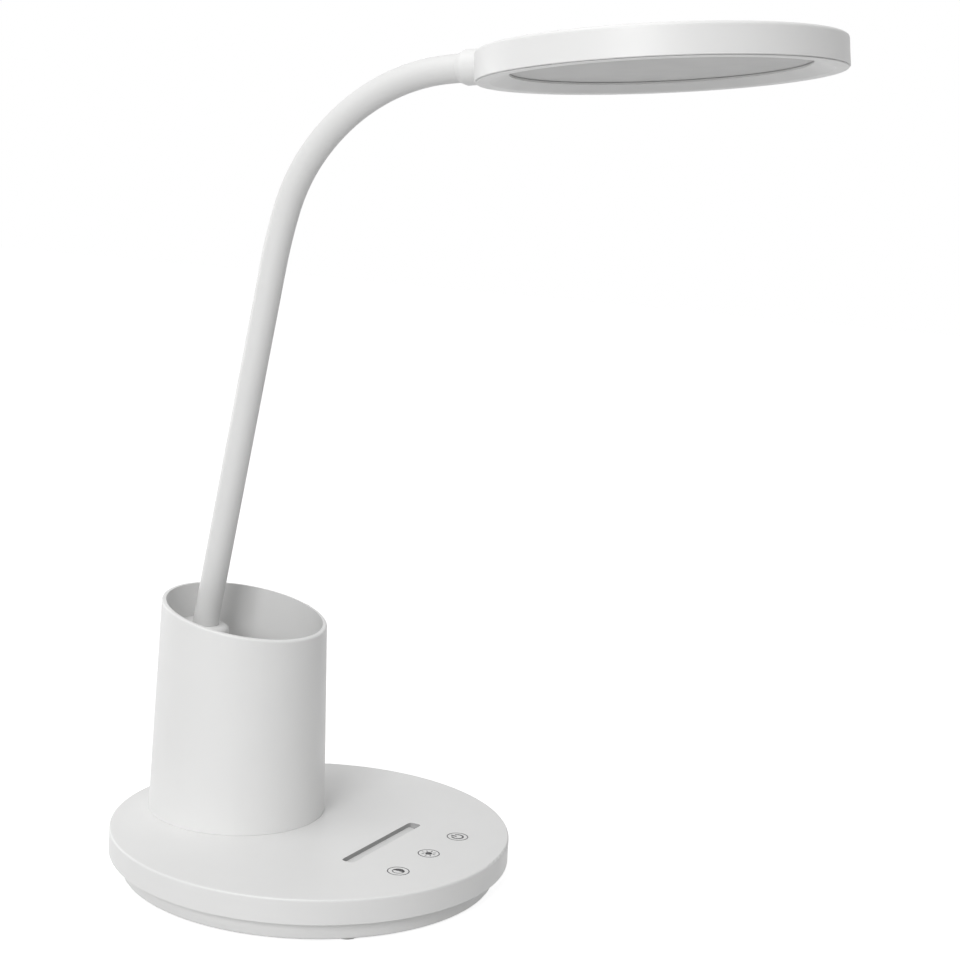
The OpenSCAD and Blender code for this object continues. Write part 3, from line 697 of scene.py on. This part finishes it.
# %% A squarer groove and a crisper edge
def squarer(along, across, radius):
    """Moves a point of a round corner out, so that the corner has a smaller radius."""
    return [math.copysign(radius * (abs(v) / radius) ** SQUARER, v) for v in (along, across)]


def groove_and_edge(point):
    """The groove with squarer ends and a floor that rises to the back, and a crisper top edge."""
    x, y, z = point
    beside = abs(y - GROOVE_Y) < GROOVE_HALF_W + SEAM and point.xy.length < GROOVE_ZONE_R
    if beside and z > top_z - GROOVE_DEPTH - SEAM:
        past = abs(x) - (GROOVE_HALF_L - GROOVE_HALF_W)
        if past > -SEAM:
            past = max(past, 0)
            past, across = squarer(past, y - GROOVE_Y, GROOVE_HALF_W)
            x = math.copysign(GROOVE_HALF_L - GROOVE_HALF_W + past - GROOVE_SHORTER, x)
            y = GROOVE_Y + across
        if z < top_z - GROOVE_DEPTH + SEAM:
            share = (y - GROOVE_Y + GROOVE_HALF_W) / (2 * GROOVE_HALF_W)
            z += share * (GROOVE_DEPTH - GROOVE_BACK_DEPTH)
        return Vector((x, y, z))
    out, up = point.xy.length - (base_r - TOP_EDGE_R), z - (top_z - TOP_EDGE_R)
    if out > SEAM and up > SEAM:
        out, up = squarer(out, up, TOP_EDGE_R)
        flat = point.xy.normalized() * (base_r - TOP_EDGE_R + out)
        return Vector((flat.x, flat.y, top_z - TOP_EDGE_R + up))
    return point


# %% The two covers and the feet
GROOVE_EDGE = 0.15 * MM
PARTING_EDGE = 0.5 * MM
FOOT_EDGE = 0.9 * MM
FEET_EDGE = 0.4 * MM
FRONT_PART_Y = -20 * MM        # the groove is in front of this, the cup behind it
STEEPEST_WALL = 0.3            # a face whose normal rises by less than this is a wall


def paint_second(piece, finish, chosen):
    """Gives the chosen faces of a piece a second material: painted shade in the groove, and a finish
    with painted shade on the bezel's slope.
    """
    piece.data.materials.append(finish)
    faces = [face for face in piece.data.polygons if chosen(face)]
    for face in faces:
        face.material_index = 1
    print(finish.name, "on", len(faces), "faces")


def groove_shade_faces(face):
    x, y, z = face.center
    return (abs(x) < GROOVE_HALF_L + GROOVE_EDGE and abs(y - GROOVE_Y) < GROOVE_HALF_W + 0.2 * MM
            and z > top_z - 1.1 * GROOVE_DEPTH and abs(face.normal.z) < STEEPEST_WALL)


top_cover = softened("base_top_cover", [
    (GROOVE_EDGE, lambda e: flat_at(e, top_z) and max(v.co.y for v in e.verts) < FRONT_PART_Y),
    (PARTING_EDGE, lambda e: reach(e) > base_r - RIM_SLACK and flat_at(e, step_z)),
], reshape=groove_and_edge)
# The groove's wall faces are painted a darker grey: this is painted shade, where little light reaches.
paint_second(top_cover, moulded_plastic("groove_painted_shade", (0.42, 0.42, 0.42), 0.6), groove_shade_faces)
softened("base_bottom_cover", [
    (FOOT_EDGE, lambda e: flat_at(e, floor_z) and reach(e) > base_r - DRUM_SET_BACK),
])
softened("rubber_feet", [
    (FEET_EDGE, lambda e: max(v.co.z for v in e.verts) < floor_z),
])

# %% [markdown]
# ## The pen cup's lip
#
# The cup's rim is cut on a slant and rounded nearly to a half circle, which makes the soft line
# all round the mouth. The cut lies on a plane of its own, so its edges are found by the direction
# in which that plane faces.

# %% The pen cup
LIP_EDGE = 0.95 * MM
CUP_FOOT_EDGE = 0.25 * MM
CUP_WALL_R = 38 * MM           # only the cup's own wall is farther than this from its axis
SLANT_RISE = (0.97, 0.995)     # how far up the slanted cut faces
cup_low, cup_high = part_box("pen_cup")
cup_axis = (cup_low + cup_high).xy / 2


def from_cup_axis(edge):
    return min((vertex.co.xy - cup_axis).length for vertex in edge.verts)


def on_slant(edge):
    """The slanted cut is the one flat face of the cup that nearly faces up, out by the wall."""
    return any(SLANT_RISE[0] < face.normal.z < SLANT_RISE[1] for face in edge.link_faces)


softened("pen_cup", [
    (LIP_EDGE, lambda e: on_slant(e) and from_cup_axis(e) > CUP_WALL_R),
    (CUP_FOOT_EDGE, lambda e: flat_at(e, cup_low.z) and from_cup_axis(e) > CUP_WALL_R),
], segments=5)

# %% [markdown]
# ## The head's edges
#
# The head hangs tilted, so its edges are measured along and round its own axis, which is read
# from the back plate inside it. The bezel gets a soft opening edge, and the shell gets small
# fillets where the collar runs into the band and the top.

# %% The head's own axis
plate = nodes["back_plate"].data
head_up = max(plate.polygons, key=lambda face: face.area).normal.copy()
head_up *= math.copysign(1, head_up.z)
plate_low, plate_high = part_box("back_plate")
plate_centre = (plate_low + plate_high) / 2
bezel_heights = [(vertex.co - plate_centre).dot(head_up) for vertex in nodes["bezel_ring"].data.vertices]
head_at = plate_centre + min(bezel_heights) * head_up


def height_in_head(point):
    return (point - head_at).dot(head_up)


def radius_in_head(point):
    return (point - head_at - height_in_head(point) * head_up).length


bezel_r = max(radius_in_head(vertex.co) for vertex in nodes["bezel_ring"].data.vertices)
print("head axis", [round(v, 4) for v in head_up], "bezel radius, mm", round(bezel_r / MM, 2))

# %% The bezel
BEZEL_EDGE = 0.3 * MM
OPENING_EDGE = 1.2 * MM
OPENING_SET_IN = 3 * MM        # the opening's edge is at least this far inside the bezel's rim
BEZEL_TURN = 15                # degrees; its edges turn less than the covers' do
LIP_BACK = 3.5 * MM            # only the back of the bezel's inner lip is above this height
INNER_LIP_R = 64.5 * MM        # and within this radius
LIP_RAISE = 0.4 * MM
SLOPE_R = (62.4 * MM, 70.3 * MM)
SLOPE_RISE = (-0.99, -0.5)     # how far up the sloped wall faces, along the head's axis


def heights(edge):
    return [height_in_head(vertex.co) for vertex in edge.verts]


def radii(edge):
    return [radius_in_head(vertex.co) for vertex in edge.verts]


def closer_lip(point):
    """The back of the bezel's inner lip, raised so that the gap to the diffuser is a fine line."""
    if radius_in_head(point) < INNER_LIP_R and height_in_head(point) > LIP_BACK:
        return point + LIP_RAISE * head_up
    return point


def underneath(edge):
    return max(heights(edge)) < FLAT_SLACK


def on_slope(face):
    return (SLOPE_R[0] < radius_in_head(face.center) < SLOPE_R[1]
            and SLOPE_RISE[0] < face.normal.dot(head_up) < SLOPE_RISE[1])


bezel = softened("bezel_ring", [
    (BEZEL_EDGE, lambda e: underneath(e) and min(radii(e)) > bezel_r - RIM_SLACK),
    (OPENING_EDGE, lambda e: underneath(e) and max(radii(e)) < bezel_r - OPENING_SET_IN),
], least_turn=BEZEL_TURN, reshape=closer_lip)
# The sloped wall in the bezel's opening has a finer grain, as a polished face, and a darker grey colour,
# which is painted shade.
slope_finish_and_shade = moulded_plastic("polished_slope_painted_shade", (0.73, 0.73, 0.725), 0.4, grain_depth=GRAIN_DEPTH / 8)
paint_second(bezel, slope_finish_and_shade, on_slope)

# %% The head's shell
COLLAR_FILLET = 0.9 * MM
COLLAR_HALF_W = 8.5 * MM       # the collar and its creases lie within these
COLLAR_BEHIND = 55 * MM
COLLAR_OVER = 1.8 * MM
COLLAR_R = (bezel_r - 30 * MM, bezel_r + 1.2 * MM)


def at_collar(edge):
    """The creases where the collar's tube meets the band and the plate, above the underside."""
    middle = (edge.verts[0].co + edge.verts[1].co) / 2
    return (abs(middle.x) < COLLAR_HALF_W and middle.y - head_at.y > COLLAR_BEHIND
            and min(heights(edge)) > COLLAR_OVER
            and COLLAR_R[0] < radius_in_head(middle) < COLLAR_R[1])


softened("head_shell", [
    (COLLAR_FILLET, at_collar),
], segments=3)

# %% [markdown]
# ## Marks on the touch area
#
# Three printed marks show where to touch: switch, brightness and warmth. They are fine lines of
# dark grey ink, so each line is a path, and one tree of nodes lays a flat stroke along them all.

# %% A tree that prints a stroke along a path
def printed_line_tree():
    """Path edges in, a flat closed stroke along them out."""
    tree = bpy.data.node_groups.new("printed_line", "GeometryNodeTree")
    add_input(tree, "Path", "NodeSocketGeometry")
    add_input(tree, "Width", "NodeSocketFloat", 0.3 * MM)
    add_input(tree, "Thickness", "NodeSocketFloat", 0.06 * MM)
    add_input(tree, "Material", "NodeSocketMaterial")
    tree.interface.new_socket("Stroke", in_out="OUTPUT", socket_type="NodeSocketGeometry")
    given = tree.nodes.new("NodeGroupInput")
    result = tree.nodes.new("NodeGroupOutput")
    curve = tree.nodes.new("GeometryNodeMeshToCurve")
    flat = tree.nodes.new("GeometryNodeSetCurveNormal")
    flat.mode = "Z_UP"
    profile = tree.nodes.new("GeometryNodeCurvePrimitiveQuadrilateral")
    stroke = tree.nodes.new("GeometryNodeCurveToMesh")
    stroke.inputs["Fill Caps"].default_value = True
    real = tree.nodes.new("GeometryNodeRealizeInstances")
    paint = tree.nodes.new("GeometryNodeSetMaterial")
    join(
        tree,
        (given.outputs["Path"], curve.inputs["Mesh"]),
        (curve.outputs["Curve"], flat.inputs["Curve"]),
        (given.outputs["Width"], profile.inputs["Width"]),
        (given.outputs["Thickness"], profile.inputs["Height"]),
        (flat.outputs["Curve"], stroke.inputs["Curve"]),
        (profile.outputs["Curve"], stroke.inputs["Profile Curve"]),
        (stroke.outputs["Mesh"], real.inputs["Geometry"]),
        (real.outputs["Geometry"], paint.inputs["Geometry"]),
        (given.outputs["Material"], paint.inputs["Material"]),
        (paint.outputs["Geometry"], result.inputs["Stroke"]),
    )
    return tree


# %% The three marks
MARK_PITCH = 27.7 * MM
MARK_Y = 30 * MM - base_r
MARK_R = 4.9 * MM
MARK_LINE = 0.5 * MM
INK_THICKNESS = 0.06 * MM
INK_SUNK = 0.01 * MM           # so that no light shows between ink and plastic
ink = plain_finish("grey_ink", (0.13, 0.13, 0.135), 0.6)
printed_line = printed_line_tree()


def arc(centre, radius, start=0, end=360, count=48):
    """Points on an arc, from start to end in degrees; a full circle leaves out its last point."""
    closed = end - start >= 360
    angles = [math.radians(start + (end - start) * i / count) for i in range(count + 1 - closed)]
    return [centre + radius * Vector((math.cos(a), math.sin(a), 0)) for a in angles], closed


def spoke(centre, angle, inner, outer):
    way = Vector((math.cos(math.radians(angle)), math.sin(math.radians(angle)), 0))
    return [centre + inner * way, centre + outer * way], False


def print_mark(name, x, lines):
    """One printed mark: all its lines as one piece on the base."""
    centre = Vector((x, MARK_Y, top_z + INK_THICKNESS / 2 - INK_SUNK))
    points, edges = [], []
    for path, closed in lines(centre):
        first = len(points)
        points += path
        edges += [(first + i, first + i + 1) for i in range(len(path) - 1)]
        if closed:
            edges.append((len(points) - 1, first))
    mesh = bpy.data.meshes.new(name)
    mesh.from_pydata(points, edges, [])
    mark = piece_from(name, mesh)
    use_tree(mark, printed_line, Width=MARK_LINE, Thickness=INK_THICKNESS, Material=ink)
    settle(mark)
    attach(mark, body_of["base_top_cover"])
    return mark


def switch_lines(c):
    """A ring that is open at the top, with a stroke in the opening."""
    open_rings = [arc(c, share * MARK_R, 125, 415, 32) for share in (0.5, 0.58)]
    strokes = [spoke(c + Vector((side * 0.05 * MARK_R, 0, 0)), 90, 0.1 * MARK_R, 0.7 * MARK_R)
               for side in (-1, 1)]
    return [arc(c, MARK_R)] + open_rings + strokes


def brightness_lines(c):
    """A filled dot with eight rays."""
    rays = [spoke(c, angle, 0.44 * MARK_R, 0.7 * MARK_R) for angle in range(0, 360, 45)]
    dot = [arc(c, share * MARK_R, count=24) for share in (0.06, 0.14, 0.22, 0.28)]
    return [arc(c, MARK_R)] + dot + rays


def warmth_lines(c):
    """A disc with its right half filled."""
    halves = [arc(c, share * MARK_R, -90, 90, 24) for share in (0.1, 0.18, 0.26, 0.34, 0.42, 0.5)]
    return [arc(c, MARK_R), arc(c, 0.54 * MARK_R, count=32)] + halves


marks = [print_mark("mark_switch", MARK_PITCH, switch_lines),
         print_mark("mark_brightness", 0, brightness_lines),
         print_mark("mark_warmth", -MARK_PITCH, warmth_lines)]
print("marks:", [len(mark.data.polygons) for mark in marks])

# %% [markdown]
# ## Screws under the base
#
# Four pan-head screws hold the two covers together, from below. One is made from a profile, and a
# tree sets a copy at each post of the circle. The cross in its head could be cut by a boolean, but
# here that left gaps, and not the same triangles on each run. So the screw is built ring by ring,
# with the recess's own walls and floor, and the face between cross and rim is filled.

# %% One screw, from its profile
SCREW_CIRCLE_R = 78 * MM
screw_low, screw_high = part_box("cover_screws")
HEAD_R = screw_high.x - SCREW_CIRCLE_R
HEAD_H = 1.8 * MM
SHANK_R = 1.5 * MM
THREAD_DEPTH = 0.25 * MM
THREAD_PITCH = 0.7 * MM
SCREW_SIDES = 32
CROSS_HALF_L = 1.8 * MM
CROSS_HALF_W = 0.3 * MM
CROSS_DEPTH = 1 * MM


def screw_profile():
    """Radius and height of each corner, from the rim of the head's face to the rim of the tip."""
    length = screw_high.z - screw_low.z
    corners = [(0.72 * HEAD_R, 0), (0.9 * HEAD_R, 0.12 * HEAD_H), (HEAD_R, 0.4 * HEAD_H),
               (HEAD_R, HEAD_H), (SHANK_R, HEAD_H)]
    turns = int((length - HEAD_H - 2 * THREAD_PITCH) / THREAD_PITCH)
    for i in range(turns):
        foot = HEAD_H + (i + 0.6) * THREAD_PITCH
        corners += [(SHANK_R - THREAD_DEPTH, foot), (SHANK_R, foot + THREAD_PITCH / 2)]
    return corners + [(0.5 * SHANK_R, length)]


def cross_outline():
    """The twelve corners of the cross, in the plane of the head's face."""
    arm = [(CROSS_HALF_L, -CROSS_HALF_W), (CROSS_HALF_L, CROSS_HALF_W), (CROSS_HALF_W, CROSS_HALF_W)]
    return [Matrix.Rotation(math.pi / 2 * turn, 3, "Z") @ Vector((along, across, 0))
            for turn in range(4) for along, across in arm]


def ring_of(work, points):
    return [work.verts.new(point) for point in points]


def add_wall(work, ring, onward):
    """Four-sided faces between two closed rings with the same number of corners."""
    for i in range(len(ring)):
        work.faces.new((ring[i - 1], ring[i], onward[i], onward[i - 1]))


def turned_screw():
    """The turned surface, the recess's walls and floor, and the face between them."""
    work = bmesh.new()
    angles = [2 * math.pi * i / SCREW_SIDES for i in range(SCREW_SIDES)]
    ways = [Vector((math.cos(a), math.sin(a), 0)) for a in angles]
    rings = [ring_of(work, [radius * way + Vector((0, 0, height)) for way in ways])
             for radius, height in screw_profile()]
    for ring, onward in zip(rings, rings[1:]):
        add_wall(work, ring, onward)
    work.faces.new(rings[-1])
    mouth = ring_of(work, cross_outline())
    floor = ring_of(work, [point + Vector((0, 0, CROSS_DEPTH)) for point in cross_outline()])
    add_wall(work, mouth, floor)
    work.faces.new(floor)
    rims = [edge for edge in work.edges if edge.is_boundary]
    bmesh.ops.triangle_fill(work, use_beauty=True, edges=rims)
    bmesh.ops.recalc_face_normals(work, faces=work.faces)
    print("open edges of a screw:", sum(edge.is_boundary for edge in work.edges))
    mesh = bpy.data.meshes.new("turned_screw")
    work.to_mesh(mesh)
    work.free()
    return piece_from("turned_screw", mesh)


# %% A tree that repeats the screw
def screws_tree():
    """A screw in, copies of it on a circle out."""
    tree = bpy.data.node_groups.new("screws_on_circle", "GeometryNodeTree")
    add_input(tree, "Screw", "NodeSocketGeometry")
    add_input(tree, "Count", "NodeSocketInt", 4)
    add_input(tree, "Circle Radius", "NodeSocketFloat", SCREW_CIRCLE_R)
    add_input(tree, "Foot Height", "NodeSocketFloat", 0.0)
    add_input(tree, "Material", "NodeSocketMaterial")
    tree.interface.new_socket("Screws", in_out="OUTPUT", socket_type="NodeSocketGeometry")
    given = tree.nodes.new("NodeGroupInput")
    result = tree.nodes.new("NodeGroupOutput")
    ring = tree.nodes.new("GeometryNodeMeshCircle")
    copies = tree.nodes.new("GeometryNodeInstanceOnPoints")
    lift = tree.nodes.new("ShaderNodeCombineXYZ")
    place = tree.nodes.new("GeometryNodeTransform")
    real = tree.nodes.new("GeometryNodeRealizeInstances")
    paint = tree.nodes.new("GeometryNodeSetMaterial")
    join(
        tree,
        (given.outputs["Count"], ring.inputs["Vertices"]),
        (given.outputs["Circle Radius"], ring.inputs["Radius"]),
        (ring.outputs["Mesh"], copies.inputs["Points"]),
        (given.outputs["Screw"], copies.inputs["Instance"]),
        (given.outputs["Foot Height"], lift.inputs["Z"]),
        (copies.outputs["Instances"], place.inputs["Geometry"]),
        (lift.outputs["Vector"], place.inputs["Translation"]),
        (place.outputs["Geometry"], real.inputs["Geometry"]),
        (real.outputs["Geometry"], paint.inputs["Geometry"]),
        (given.outputs["Material"], paint.inputs["Material"]),
        (paint.outputs["Geometry"], result.inputs["Screws"]),
    )
    return tree


screws = turned_screw()
screws.name = "cover_screws_turned"
use_tree(screws, screws_tree(), **{"Foot Height": screw_low.z, "Material": finishes["screw_steel"]})
settle(screws)
screws.data.set_sharp_from_angle(angle=math.radians(SHARP_DEGREES))
dress(screws, "cover_screws")
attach(screws, body_of["cover_screws"])
print("screws:", len(screws.data.polygons), "faces")
